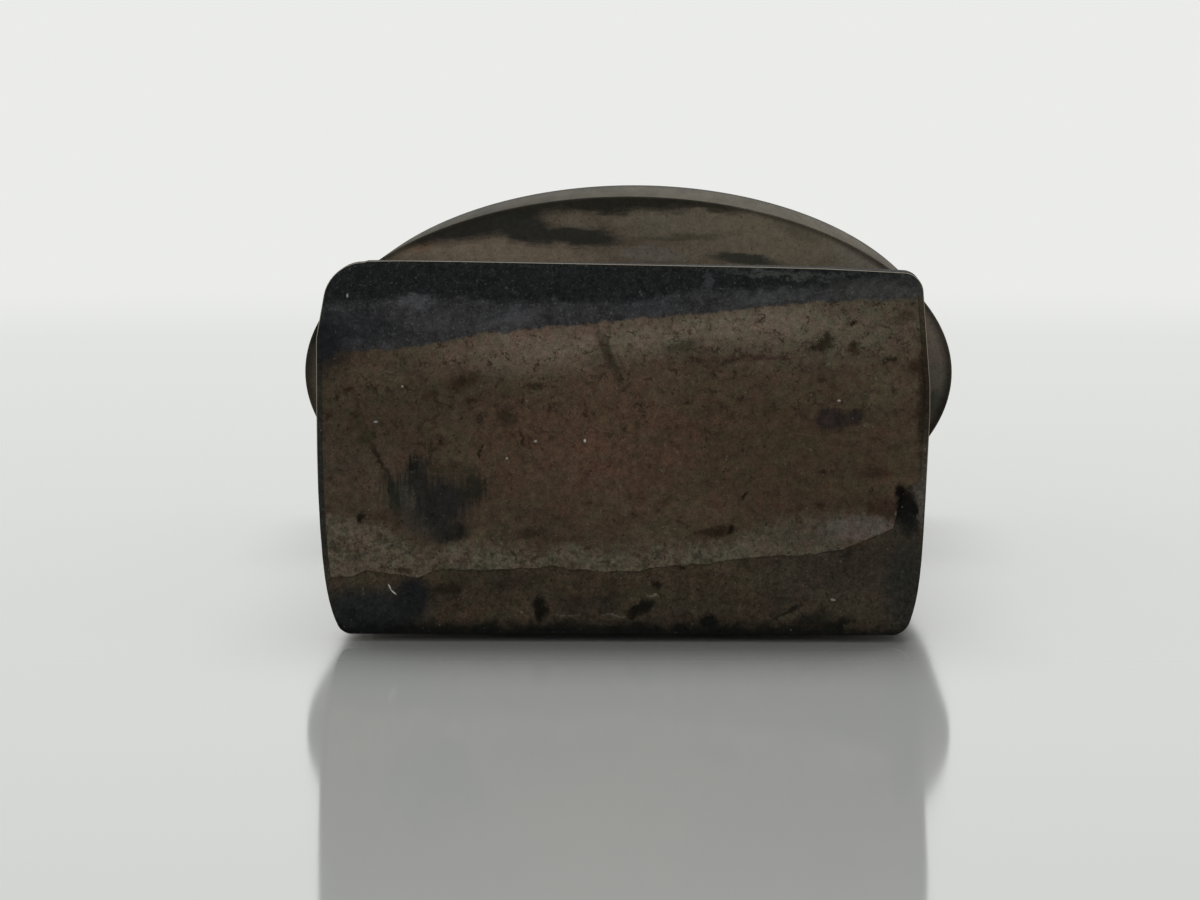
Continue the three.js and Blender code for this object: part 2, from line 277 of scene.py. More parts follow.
# Specks of lint on the paper
LINT = [
    Mark(-13.85, 17.74, 0.05, 0.1, 0, LINT_GREY, 0.36, 0.5),
    Mark(-12.4, 11.15, 0.11, 0.05, 0, LINT_GREY, 0.33, 0.5),
    Mark(-11.0, 13.0, 0.06, 0.06, 0, LINT_GREY, 0.3, 0.5),
    Mark(-5.55, 9.25, 0.06, 0.05, 0, LINT_GREY, 0.36, 0.5),
    Mark(-4.05, 10.15, 0.07, 0.06, 0, LINT_GREY, 0.36, 0.5),
    Mark(-1.48, 10.18, 0.06, 0.08, 0, LINT_GREY, 0.58, 0.5),
    Mark(11.75, 12.3, 0.08, 0.05, 0, LINT_GREY, 0.4, 0.5),
]

# Smudge left by an inky brush, in upright strokes
BRUSHED_SMUDGE = [
    Mark(-9.6, 6.4, 1.6, 1.5, 0, "#272623", 0.75, 0.6),
    Mark(-9.0, 6.9, 1.3, 1.3, 0, "#1c1b1a", 0.9, 0.45),
    Mark(-10.2, 8.3, 0.6, 1.0, 0, "#1b1b19", 0.9, 0.5),
    Mark(-11.5, 7.5, 0.45, 1.0, 12, "#1b1d18", 0.93, 0.5),
    Mark(-10.9, 7.4, 0.2, 1.1, 4, "#2b2c29", 0.7, 0.6),
    Mark(-7.3, 7.6, 0.65, 0.9, -15, "#1c1c16", 0.9, 0.5),
    Mark(-9.65, 9.5, 0.1, 0.7, -6, "#1b1813", 0.88, 0.6),
    Mark(-10.4, 9.0, 0.12, 0.6, 0, "#161512", 0.9, 0.5),
    Mark(-8.0, 8.7, 0.8, 0.25, 0, "#28261e", 0.6, 0.7),
]

WOOD_MARKS = [
    Mark(16.0, 8.8, 0.5, 2.6, 0, "#3a3731", 0.9, 0.6),
    Mark(16.3, 13.0, 0.35, 3.0, 0, "#1f1a14", 0.88, 0.6),
    Mark(-15.6, 8.0, 0.7, 7.0, 0, "#1e1f1e", 0.88, 0.7),
    # Ink that ran under the lower edge and into the left corner
    Mark(-12.8, 1.1, 2.9, 1.3, 0, "#191b1c", 0.93, 0.5),
    Mark(-10.5, 2.0, 0.85, 1.1, 0, "#151617", 0.95, 0.4),
    Mark(-13.6, 1.0, 0.5, 0.3, 0, "#0f1011", 0.8, 0.6),
    Mark(-8.6, 2.4, 1.0, 0.3, 10, "#1c1812", 0.9, 0.5),
    Mark(-3.85, 1.35, 0.4, 0.62, 6, "#0d0c08", 0.95, 0.4),
    Mark(-0.3, 1.6, 0.6, 0.5, -20, "#211d18", 0.8, 0.6),
    Mark(-0.1, 2.7, 0.3, 0.3, 0, "#211c16", 0.8, 0.6),
    Mark(-4.8, 1.12, 0.14, 0.05, 0, "#5a564c", 0.7, 0.6),
    Mark(-2.4, 1.02, 0.5, 0.05, 0, "#4a463d", 0.6, 0.7),
    Mark(0.1, 1.0, 0.6, 0.05, -8, "#525049", 0.6, 0.7),
    Mark(1.45, 1.35, 0.75, 0.34, 26, "#0d0c09", 0.95, 0.4),
    Mark(2.3, 2.6, 0.24, 0.22, 0, "#15120d", 0.92, 0.45),
    Mark(2.1, 2.1, 0.28, 0.08, 10, "#5b5348", 0.8, 0.6),
    Mark(3.6, 3.5, 0.16, 0.14, 0, "#17120c", 0.9, 0.5),
    Mark(5.0, 0.7, 0.5, 0.35, 0, "#0b0b0a", 0.95, 0.45),
    Mark(9.1, 1.25, 0.95, 0.09, 28, "#100f0b", 0.95, 0.5),
    Mark(10.4, 0.8, 1.0, 0.4, 15, "#15140f", 0.88, 0.6),
    Mark(11.7, 0.6, 0.8, 0.25, 12, "#0f0f0b", 0.92, 0.5),
    Mark(12.3, 4.4, 0.7, 0.12, 22, "#1a150f", 0.85, 0.6),
    Mark(15.3, 6.5, 0.6, 1.2, 8, "#080807", 0.97, 0.35),
    Mark(16.15, 6.7, 0.24, 1.0, 0, "#3f3c36", 0.85, 0.5),
    Mark(11.3, 2.9, 3.2, 1.6, 0, "#2a2722", 0.45, 0.9),
    Mark(15.4, 2.6, 1.3, 2.8, 0, "#1e1f1d", 0.85, 0.7),
]

# A bent hair and a crumb on the wood
WOOD_LINT = [
    Mark(-11.7, 2.48, 0.035, 0.16, 27, LINT_GREY, 0.58, 0.4),
    Mark(-11.5, 2.2, 0.035, 0.18, 50, LINT_GREY, 0.58, 0.4),
    Mark(11.48, 1.86, 0.13, 0.06, -10, "#8f8a80", 0.48, 0.5),
]

# Ink that was rubbed while wet: paler clouds in the smear, and a darker end at the left
RUBBED_INK = [
    Mark(-15.3, 15.3, 1.4, 1.6, 0, "#131415", 0.85, 0.6),
    Mark(-13.2, 16.1, 1.5, 0.8, 5, "#1b1c1e", 0.55, 0.8),
    Mark(-10.4, 17.4, 0.9, 0.35, 0, "#434345", 0.65, 0.7),
    Mark(-9.2, 16.5, 1.2, 0.5, 20, "#393839", 0.55, 0.8),
    Mark(-5.0, 16.6, 1.2, 0.4, 20, "#3f3f41", 0.6, 0.7),
    Mark(-6.8, 16.2, 1.6, 0.3, 8, "#39393a", 0.55, 0.8),
    Mark(1.6, 17.1, 1.5, 0.4, 6, "#323335", 0.5, 0.8),
    Mark(8.6, 17.75, 2.2, 0.3, 4, "#383939", 0.6, 0.8),
    Mark(4.9, 18.5, 0.2, 0.6, 0, "#36383a", 0.6, 0.7),
    Mark(9.0, 18.85, 3.0, 0.14, -3, "#363936", 0.7, 0.7),
    Mark(14.0, 18.1, 2.4, 0.5, 0, "#383836", 0.7, 0.8),
]

SHOULDER_MARKS = [
    # Paler wood below the smear, warm at its left end, and to the right
    Mark(-7.5, 18.0, 6.0, 0.8, -4, "#5d5347", 0.9, 0.6),
    Mark(-12.6, 18.4, 0.7, 0.25, 10, "#624b38", 0.6, 0.8),
    Mark(8.5, 19.0, 6.5, 1.8, -8, "#575044", 0.85, 0.7),
    Mark(14.0, 17.6, 1.6, 0.8, -20, "#575249", 0.85, 0.7),
    Mark(1.6, 17.9, 2.0, 0.35, -4, "#56524a", 0.85, 0.6),
    Mark(2.0, 19.8, 2.5, 0.6, 0, "#524d42", 0.7, 0.8),
    # Wedge of ink from the rim, drawn out into a streak, and lesser streaks
    Mark(-9.3, 19.8, 4.0, 0.95, 12, "#1a1a17", 0.95, 0.4),
    Mark(-12.0, 19.1, 1.8, 0.4, 24, "#1d1d19", 0.9, 0.5),
    Mark(-6.4, 19.5, 2.0, 0.9, -12, "#20201d", 0.95, 0.4),
    Mark(-3.2, 19.0, 2.7, 0.5, -3, "#21211d", 0.95, 0.4),
    Mark(-6.2, 20.65, 1.9, 0.55, 6, "#1b1b17", 0.9, 0.5),
    Mark(-0.6, 21.1, 4.8, 0.7, 0, "#191914", 0.95, 0.4),
    Mark(4.5, 20.9, 2.2, 0.34, -9, "#201d17", 0.88, 0.5),
    Mark(3.2, 18.95, 3.0, 0.22, 3, "#3a372d", 0.8, 0.8),
    Mark(7.2, 17.55, 2.2, 0.28, -6, "#262723", 0.9, 0.5),
    Mark(10.2, 19.3, 1.6, 0.28, -24, "#3f3b30", 0.6, 0.8),
    # Slivers that show beside the grip: the right one paler above and darker below, the left one dark with
    # painted shade
    Mark(18.6, 12.2, 1.6, 2.4, 0, "#655c53", 0.9, 0.7),
    Mark(18.6, 10.4, 1.2, 0.8, 0, "#5b594e", 0.85, 0.7),
    Mark(18.4, 8.9, 0.9, 0.6, 0, "#43433d", 0.85, 0.6),
    Mark(-19.0, 11.5, 1.2, 2.2, 0, "#302d27", 0.8, 0.6),
    Mark(-19.2, 13.0, 0.7, 0.6, 0, "#0d0e0d", 0.93, 0.5),
]


# Tools for modelling

def begin():
    """Leaves edit mode and lets go of everything, so that the next operator acts on one piece alone."""
    if bpy.context.object and bpy.context.object.mode != "OBJECT":
        bpy.ops.object.mode_set(mode="OBJECT")
    bpy.ops.object.select_all(action="DESELECT")


def named(name):
    """Names the new piece and puts its place, turn and size into its mesh."""
    piece = bpy.context.object
    piece.name = name
    piece.data.name = name
    bpy.ops.object.transform_apply(location=True, rotation=True, scale=True)
    return piece


def pick(piece, kind, chosen):
    """Selects, in edit mode, the vertices, edges or faces for which chosen is true."""
    bpy.context.view_layer.objects.active = piece
    bpy.ops.object.mode_set(mode="EDIT")
    bpy.ops.mesh.select_mode(type=kind)
    bpy.ops.mesh.select_all(action="DESELECT")
    shape = bmesh.from_edit_mesh(piece.data)
    parts = {"VERT": shape.verts, "EDGE": shape.edges, "FACE": shape.faces}[kind]
    for part in parts:
        if chosen(part):
            part.select_set(True)
    bmesh.update_edit_mesh(piece.data)


def cut_across(piece, place, direction):
    """Adds a loop of edges where a plane crosses the piece."""
    pick(piece, "FACE", lambda face: True)
    bpy.ops.mesh.bisect(plane_co=place, plane_no=direction)


def modify(piece, kind, **settings):
    """Gives a piece one modifier and applies it."""
    begin()
    piece.select_set(True)
    bpy.context.view_layer.objects.active = piece
    modifier = piece.modifiers.new(kind, kind)
    for name, value in settings.items():
        setattr(modifier, name, value)
    bpy.ops.object.modifier_apply(modifier=modifier.name)


def carve(piece, cutter):
    """Cuts a shape out of a piece and throws the cutter away."""
    modify(piece, "BOOLEAN", operation="DIFFERENCE", object=cutter, solver="EXACT")
    bpy.data.objects.remove(cutter)


def smooth(piece, degrees):
    """Shades a piece smooth, apart from edges sharper than an angle."""
    begin()
    piece.select_set(True)
    bpy.context.view_layer.objects.active = piece
    bpy.ops.object.shade_smooth_by_angle(angle=math.radians(degrees))


def level(edge, axis, value, slack=1e-6):
    """True where both ends of an edge lie at one place along an axis."""
    return all(abs(end.co[axis] - value) < slack for end in edge.verts)


def dress(piece, node, material):
    """Puts a finished piece in the place of its CAD node, with its finish."""
    begin()
    piece.data.materials.clear()
    piece.data.materials.append(material)
    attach(piece, "root")
    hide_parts(node)


# Pieces

def cut_dowel_holes(piece):
    """Bores a piece for both dowels, with room round them and at their ends."""
    for low, high in dowel_boxes:
        begin()
        bpy.ops.mesh.primitive_cylinder_add(
            vertices=32,
            radius=(high.x - low.x) / 2 + DOWEL_CLEARANCE * MM,
            depth=high.y - low.y + 2 * DOWEL_END_CLEARANCE * MM,
            location=(low + high) / 2,
            rotation=(math.radians(90), 0, 0),
        )
        carve(piece, bpy.context.object)


def flank_inset(flank, height):
    """How far a flank of the grip lies inside its full width at a height, in millimetres."""
    drop = max(0.0, 1 - height / BELLY_HEIGHT)
    lean = max(0.0, height - flank.lean_from) / (flank.top - flank.lean_from)
    tuck = flank.tuck * drop ** flank.tuck_curve
    heel = flank.heel * drop ** flank.heel_curve
    return tuck + heel + flank.lean * lean


def belly_flanks(grip):
    """Cuts rows across the bar and moves their ends in, so that both flanks belly out."""
    for height in (*HEEL_ROWS, BELLY_HEIGHT, RIGHT_FLANK.lean_from, LEFT_FLANK.lean_from):
        cut_across(grip, (0, 0, height * MM), (0, 0, 1))
    rows = {round(vert.co.z / MM, 2) for vert in bmesh.from_edit_mesh(grip.data).verts}
    for row in rows:
        for side, flank in ((-1, LEFT_FLANK), (1, RIGHT_FLANK)):
            pick(grip, "VERT", lambda vert: (
                round(vert.co.z / MM, 2) == row and (vert.co.x - grip_middle.x) * side > 0))
            bpy.ops.transform.translate(value=(-side * flank_inset(flank, row) * MM, 0, 0))


def crown_top(grip):
    """Cuts columns along the bar, and when all are cut raises its top a little between the corners."""
    for across in CROWN_COLUMNS:
        cut_across(grip, (across * MM, 0, 0), (1, 0, 0))
    for across in CROWN_COLUMNS:
        pick(grip, "VERT", lambda vert: (
            abs(vert.co.x - across * MM) < 1e-6 and vert.co.z > grip_middle.z))
        crown = END_CROWN * (1 - (across / CROWN_REACH) ** 8)
        bpy.ops.transform.translate(value=(0, 0, crown * MM))


def hollow_waist(grip):
    """Cuts the long coves above and below with two drums."""
    top = grip_high.z
    axis_height = (top + END_HEIGHT_RIGHT * MM) / 4
    run = (WAIST_DISTANCE - END_LAND) * MM
    drum_length = (grip_high.x - grip_low.x) * 1.2
    for side in (-1, 1):
        waist = axis_height + side * WAIST_THICKNESS / 2 * MM
        depth = top - waist if side > 0 else waist
        radius = (run * run + depth * depth) / (2 * depth)
        begin()
        bpy.ops.mesh.primitive_cylinder_add(
            vertices=1200,
            radius=radius,
            depth=drum_length,
            location=(grip_middle.x, end_plane + WAIST_DISTANCE * MM, waist + side * radius),
            rotation=(0, math.radians(90), 0),
        )
        carve(grip, bpy.context.object)


def make_grip():
    """A bar with bellied flanks and unequal corners, hollowed for the fingers."""
    begin()
    bpy.ops.mesh.primitive_cube_add(size=1, location=grip_middle, scale=grip_high - grip_low)
    grip = named("grip_wood")
    pick(grip, "VERT", lambda vert: vert.co.x > grip_middle.x and vert.co.z > grip_middle.z)
    bpy.ops.transform.translate(value=(0, 0, END_HEIGHT_RIGHT * MM - grip_high.z))
    corners = [
        (-1, -1, BOTTOM_LEFT_RADIUS), (1, -1, BOTTOM_RIGHT_RADIUS),
        (-1, 1, TOP_LEFT_RADIUS), (1, 1, TOP_RIGHT_RADIUS),
    ]
    # Each long edge is picked by the corner that it lies in, well out from the bar's middle
    long, out, up = 10 * MM, 14 * MM, 8 * MM
    for side, rise, radius in corners:
        pick(grip, "EDGE", lambda edge: (
            abs(edge.verts[0].co.y - edge.verts[1].co.y) > long
            and all((end.co.x - grip_middle.x) * side > out for end in edge.verts)
            and all((end.co.z - grip_middle.z) * rise > up for end in edge.verts)))
        bpy.ops.mesh.bevel(offset=radius * MM, segments=10, affect="EDGES")
    belly_flanks(grip)
    crown_top(grip)
    for direction in (-1, 1):
        pick(grip, "FACE", lambda face: face.normal.y * direction > 0.9)
        bpy.ops.mesh.dissolve_faces()
    pick(grip, "EDGE", lambda edge: level(edge, 1, end_plane))
    bpy.ops.mesh.bevel(offset=END_ARRIS * MM, segments=4, affect="EDGES")
    hollow_waist(grip)
    cut_dowel_holes(grip)
    modify(grip, "BEVEL", width=HANDLED_ARRIS * MM, segments=4, limit_method="ANGLE",
           angle_limit=math.radians(50))
    smooth(grip, 25)
    return grip


def add_oval(low, high, name, vertices=256):
    """An oval block that fills a box, its axis along Y."""
    begin()
    size = high - low
    bpy.ops.mesh.primitive_cylinder_add(
        vertices=vertices, radius=0.5, depth=1, location=(low + high) / 2,
        rotation=(math.radians(90), 0, 0), scale=(size.x, size.z, size.y))
    return named(name)


def make_base():
    """An oval block with eased edges, bored for the dowels."""
    base = add_oval(base_low, base_high, "base_block")
    for place, arris in ((base_low.y, SHOULDER_ARRIS), (base_high.y, BACK_ARRIS)):
        pick(base, "EDGE", lambda edge: level(edge, 1, place))
        bpy.ops.mesh.bevel(offset=arris * MM, segments=4, affect="EDGES")
    cut_dowel_holes(base)
    smooth(base, 25)
    return base


def make_cushion():
    """A sheet of sponge whose edge swells where the rubber is pressed against it."""
    cushion = add_oval(cushion_low, cushion_high, "cushion_sponge")
    for place in (cushion_low.y, cushion_high.y):
        pick(cushion, "EDGE", lambda edge: level(edge, 1, place))
        bpy.ops.mesh.bevel(offset=CUSHION_SWELL * MM, segments=5, affect="EDGES")
    smooth(cushion, 40)
    return cushion


def bead_places(half_width, half_height):
    """Points evenly spaced round an oval."""
    steps = 4096
    lengths = [0.0]
    for step in range(steps):
        before, after = (2 * math.pi * (step + k) / steps for k in (0, 1))
        lengths.append(lengths[-1] + math.hypot(
            half_width * (math.cos(after) - math.cos(before)),
            half_height * (math.sin(after) - math.sin(before))))
    places = []
    step = 0
    for bead in range(BEAD_COUNT):
        while lengths[step] < lengths[-1] * bead / BEAD_COUNT:
            step += 1
        angle = 2 * math.pi * step / steps
        places.append((half_width * math.cos(angle), half_height * math.sin(angle)))
    return places


def add_bead(place, depth):
    """A bead of the raised work, a little wider at its foot."""
    begin()
    bpy.ops.mesh.primitive_cone_add(
        vertices=12,
        radius1=(BEAD_DIAMETER / 2 + RELIEF_DRAFT) * MM,
        radius2=BEAD_DIAMETER / 2 * MM,
        depth=depth,
        location=place,
        rotation=(math.radians(-90), 0, 0),
    )
    return named("bead")


def add_rule(place, length, depth):
    """A straight rule of the raised work, a little wider at its foot and eased along its edges."""
    foot_length = length + 2 * RELIEF_DRAFT
    foot_width = RULE_WIDTH + 2 * RELIEF_DRAFT
    begin()
    bpy.ops.mesh.primitive_cube_add(
        size=1, location=place, scale=(foot_length * MM, depth, foot_width * MM))
    rule = named("rule")
    pick(rule, "FACE", lambda face: face.normal.y > 0.9)
    bpy.ops.transform.resize(
        value=(length / foot_length, 1, RULE_WIDTH / foot_width), center_override=place)
    pick(rule, "EDGE", lambda edge: level(edge, 1, die_high.y, 1e-5))
    bpy.ops.mesh.bevel(offset=RUBBER_ARRIS * MM, segments=2, affect="EDGES")
    return rule


def make_die():
    """A backing sheet with a raised border, a ring of beads and two rules."""
    backing_face = die_high.y - RELIEF_HEIGHT * MM
    die = add_oval(die_low, Vector((die_high.x, backing_face, die_high.z)), "rubber_die_sheet")
    half_width = (die_high.x - die_low.x) / 2 / MM
    half_height = (die_high.z - die_low.z) / 2 / MM
    bead_track = 2 * BEAD_GAP + BEAD_DIAMETER
    steps = [
        (BORDER_INSET - RELIEF_DRAFT, 0), (RELIEF_DRAFT, RELIEF_HEIGHT),
        (BORDER_WIDTH, 0), (RELIEF_DRAFT, -RELIEF_HEIGHT),
        (bead_track - 2 * RELIEF_DRAFT, 0), (RELIEF_DRAFT, RELIEF_HEIGHT),
        (INNER_RING_WIDTH, 0), (RELIEF_DRAFT, -RELIEF_HEIGHT),
    ]
    pick(die, "FACE", lambda face: face.normal.y > 0.9)
    for inset, rise in steps:
        bpy.ops.mesh.inset(thickness=inset * MM, depth=rise * MM)
    pick(die, "EDGE", lambda edge: level(edge, 1, die_high.y, 1e-5))
    bpy.ops.mesh.bevel(offset=RUBBER_ARRIS * MM, segments=2, affect="EDGES")
    parts = [die]
    depth = (RELIEF_HEIGHT + RELIEF_ROOT) * MM
    middle = Vector((base_middle.x, die_high.y - depth / 2, base_middle.z))
    margin = BORDER_INSET + BORDER_WIDTH + bead_track / 2
    for across, up in bead_places(half_width - margin, half_height - margin):
        parts.append(add_bead(middle + Vector((across, 0, up)) * MM, depth))
    field_margin = margin + bead_track / 2 + INNER_RING_WIDTH
    field_width = half_width - field_margin
    field_height = half_height - field_margin
    rise = RULE_SPACING / 2
    length = 2 * (field_width * math.sqrt(1 - (rise / field_height) ** 2) - RULE_END_GAP)
    for side in (-1, 1):
        parts.append(add_rule(middle + Vector((0, 0, side * rise)) * MM, length, depth))
    begin()
    for part in parts:
        part.select_set(True)
    bpy.context.view_layer.objects.active = die
    bpy.ops.object.join()
    smooth(die, 30)
    return die


def tear_height(across):
    """Height of the label's torn edge at a place across the end, with its rags and loose fibres."""
    for (x0, z0), (x1, z1) in zip(TEAR_LINE, TEAR_LINE[1:]):
        if across <= x1:
            share = max(0.0, (across - x0) / (x1 - x0))
            height = z0 + (z1 - z0) * share
            break
    rags = RAG_DEPTH * noise.noise(Vector((across / RAG_WIDTH, 3.1, 0)))
    fibres = FIBRE_DEPTH * noise.noise(Vector((across / FIBRE_WIDTH, 7.7, 0)))
    return height + rags + fibres


def end_outline(grip, margin):
    """A thick copy of the grip's end, smaller by an even margin, to trim the label with."""
    begin()
    grip.select_set(True)
    pick(grip, "FACE", lambda face: face.normal.y < -0.99)
    bpy.ops.mesh.duplicate()
    bpy.ops.mesh.separate(type="SELECTED")
    bpy.ops.object.mode_set(mode="OBJECT")
    outline = next(made for made in bpy.context.selected_objects if made != grip)
    begin()
    pick(outline, "FACE", lambda face: True)
    bpy.ops.mesh.inset(thickness=margin)
    bpy.ops.mesh.select_all(action="INVERT")
    bpy.ops.mesh.delete(type="FACE")
    modify(outline, "SOLIDIFY", thickness=TRIM_DEPTH * MM, offset=0)
    return outline


def make_label(grip):
    """Thin paper, cockled by old paste, torn along its lower edge and lifted a little there."""
    begin()
    bpy.ops.mesh.primitive_grid_add(x_subdivisions=220, y_subdivisions=50, size=1)
    label = named("paper_label_sheet")
    left = TEAR_LINE[0][0]
    right = TEAR_LINE[-1][0]
    upper = grip_high.z / MM
    for vert in label.data.vertices:
        across = left + (vert.co.x + 0.5) * (right - left)
        share = (vert.co.y + 0.5) ** 1.5
        lower = tear_height(across)
        height = lower + (upper - lower) * share
        cockle = 0.5 + 0.5 * noise.noise(Vector((across / COCKLE_WIDTH, height / COCKLE_HEIGHT, 1.5)))
        curl = 0.5 + 0.5 * noise.noise(Vector((across / CURL_WIDTH, 0, 5)))
        lift = TEAR_LIFT * curl * math.exp(-(height - lower) / LIFT_REACH)
        vert.co = (across * MM, end_plane - (PAPER_COCKLE * cockle + lift) * MM, height * MM)
    modify(label, "SOLIDIFY", thickness=PAPER_THICKNESS * MM, offset=1)
    outline = end_outline(grip, (LABEL_MARGIN - END_ARRIS) * MM)
    modify(label, "BOOLEAN", operation="INTERSECT", object=outline, solver="EXACT")
    bpy.data.objects.remove(outline)
    smooth(label, 40)
    return label


# Materials

def linear(code):
    """Linear colour of an sRGB hex code."""
    parts = [int(code[i:i + 2], 16) / 255 for i in (1, 3, 5)]
    return tuple(p / 12.92 if p <= 0.04045 else ((p + 0.055) / 1.055) ** 2.4 for p in parts) + (1.0,)


def add(tree, kind, inputs=None, **settings):
    """Adds a node with its settings; an input is a value to set or a socket to link."""
    made = tree.nodes.new(kind)
    for name, value in settings.items():
        setattr(made, name, value)
    for name, value in (inputs or {}).items():
        if isinstance(value, bpy.types.NodeSocket):
            tree.links.new(value, made.inputs[name])
        else:
            made.inputs[name].default_value = value
    return made


def new_material(name, roughness, specular):
    """A material with its shader, and its points in millimetres so that every pattern has a real size."""
    material = bpy.data.materials.new(name)
    material.use_nodes = True
    tree = material.node_tree
    shader = tree.nodes["Principled BSDF"]
    shader.inputs["Roughness"].default_value = roughness
    shader.inputs["Specular IOR Level"].default_value = specular
    spot = add(tree, "ShaderNodeTexCoord")
    points = add(tree, "ShaderNodeVectorMath", {
        0: spot.outputs["Object"], "Scale": 1 / MM}, operation="SCALE")
    return material, tree, shader, points.outputs[0]


def ragged(tree, points, size, reach):
    """Points pushed about by noise of a size along X, Y and Z: what is drawn from them has ragged edges."""
    stretched = add(tree, "ShaderNodeMapping", {"Vector": points, "Scale": tuple(1 / s for s in size)})
    cloud = add(tree, "ShaderNodeTexNoise", {
        "Vector": stretched.outputs[0], "Scale": 1.0, "Detail": 4.0, "Roughness": 0.65})
    push = add(tree, "ShaderNodeVectorMath", {
        0: cloud.outputs["Color"], 1: (0.5, 0.5, 0.5)}, operation="SUBTRACT")
    push = add(tree, "ShaderNodeVectorMath", {0: push.outputs[0], "Scale": 2 * reach}, operation="SCALE")
    return add(tree, "ShaderNodeVectorMath", {0: points, 1: push.outputs[0]}, operation="ADD").outputs[0]


def layer(tree, under, over, mask):
    """One colour laid over another where the mask is 1."""
    return add(tree, "ShaderNodeMix", {0: mask, 6: under, 7: over}, data_type="RGBA").outputs[2]


def mottle(tree, points, size, low, high, top=1.0, detail=5.0, roughness=0.6):
    """A mask of noise of a size in millimetres along X, Y and Z, rising from low to high."""
    stretched = add(tree, "ShaderNodeMapping", {"Vector": points, "Scale": tuple(1 / s for s in size)})
    cloud = add(tree, "ShaderNodeTexNoise", {
        "Vector": stretched.outputs[0], "Scale": 1.0, "Detail": detail, "Roughness": roughness})
    return add(tree, "ShaderNodeMapRange", {
        "Value": cloud.outputs[0], "From Min": low, "From Max": high, "To Max": top}).outputs[0]


def draw_marks(tree, colour, points, marks, plane, depth=3.0):
    """Lays each mark over a colour, as an ellipsoid of ink about a plane square to the axis."""
    for mark in marks:
        outer = 1 + mark.soft
        placed = add(tree, "ShaderNodeMapping", {
            "Vector": points,
            "Location": (mark.x, plane / MM, mark.z),
            "Rotation": (0, -math.radians(mark.turn), 0),
            "Scale": (mark.wide * outer, depth * outer, mark.high * outer)}, vector_type="TEXTURE")
        ball = add(tree, "ShaderNodeTexGradient", {
            "Vector": placed.outputs[0]}, gradient_type="SPHERICAL")
        mask = add(tree, "ShaderNodeMapRange", {
            "Value": ball.outputs["Fac"], "From Max": 2 * mark.soft / outer, "To Max": mark.strength},
            interpolation_type="SMOOTHSTEP")
        colour = layer(tree, colour, linear(mark.colour), mask.outputs[0])
    return colour


def rise_over(tree, points, line):
    """Height above a line that is drawn across the end, in millimetres."""
    low = line[0][0]
    high = line[-1][0]
    tall = 20.0
    place = add(tree, "ShaderNodeSeparateXYZ", {0: points})
    across = add(tree, "ShaderNodeMapRange", {
        "Value": place.outputs["X"], "From Min": low, "From Max": high})
    curve = add(tree, "ShaderNodeFloatCurve", {"Value": across.outputs[0]})
    course = curve.mapping.curves[0].points
    course[0].location = (0, line[0][1] / tall)
    course[1].location = (1, line[-1][1] / tall)
    for x, z in line[1:-1]:
        course.new((x - low) / (high - low), z / tall)
    for point in course:
        point.handle_type = "VECTOR"
    curve.mapping.update()
    return add(tree, "ShaderNodeMath", {0: curve.outputs[0], 1: -tall, 2: place.outputs["Z"]},
               operation="MULTIPLY_ADD").outputs[0]


def end_ink(tree, colour, points):
    """The blue-grey smear and the black band that cross the upper part of the grip's end."""
    depth = add(tree, "ShaderNodeSeparateXYZ", {0: ragged(tree, points, (4.0, 4.0, 4.0), 5.0)})
    near = add(tree, "ShaderNodeMapRange", {
        "Value": depth.outputs["Y"],
        "From Min": end_plane / MM + INK_GONE_AT,
        "From Max": end_plane / MM + INK_FULL_TO}).outputs[0]
    smear_cloud = mottle(tree, points, (0.7, 0.7, 0.5), 0.36, 0.64, roughness=0.8)
    smear_tint = layer(tree, linear("#1b1c1d"), linear("#303133"), smear_cloud)
    black_cloud = mottle(tree, points, (0.3, 0.3, 0.3), 0.36, 0.7, roughness=0.8)
    black_tint = layer(tree, linear("#101212"), linear("#1f2020"), black_cloud)
    specks = mottle(tree, points, (0.14, 0.14, 0.14), 0.58, 0.7, 0.55, detail=2.0)
    smear_tint = layer(tree, smear_tint, linear("#4c4d50"), specks)
    black_tint = layer(tree, black_tint, linear("#36383a"), specks)
    inks = [
        (SMEAR_EDGE, ragged(tree, points, (0.7, 0.7, 0.7), 0.36), 0.1, smear_tint),
        (BLACK_EDGE, ragged(tree, points, (1.0, 1.0, 0.5), 0.6), 0.2, black_tint),
    ]
    for line, edge, soft, tint in inks:
        wet = add(tree, "ShaderNodeMapRange", {
            "Value": rise_over(tree, edge, line), "From Min": -soft, "From Max": soft, "To Max": 0.93},
            interpolation_type="SMOOTHSTEP")
        mask = add(tree, "ShaderNodeMath", {0: wet.outputs[0], 1: near}, operation="MULTIPLY")
        colour = layer(tree, colour, tint, mask.outputs[0])
    cloudy = ragged(tree, points, (0.8, 0.8, 0.5), 0.8)
    return draw_marks(tree, colour, cloudy, RUBBED_INK, end_plane)


def toned(tree, colour, tone):
    """A colour made darker or lighter, or tinted, by a factor that varies over the surface."""
    return add(tree, "ShaderNodeMix", {0: 1.0, 6: colour, 7: tone},
               data_type="RGBA", blend_type="MULTIPLY").outputs[2]


def blotched(tree, colour, points):
    """Red and olive blotches, as old paste, oil and damp leave them."""
    for size in (2.4, 0.6):
        blotch = mottle(tree, points, (size, size, size), 0.34, 0.66, detail=3.0)
        tint = layer(tree, (1.045, 0.965, 0.97, 1), (0.95, 1.005, 0.965, 1), blotch)
        colour = toned(tree, colour, tint)
    return colour


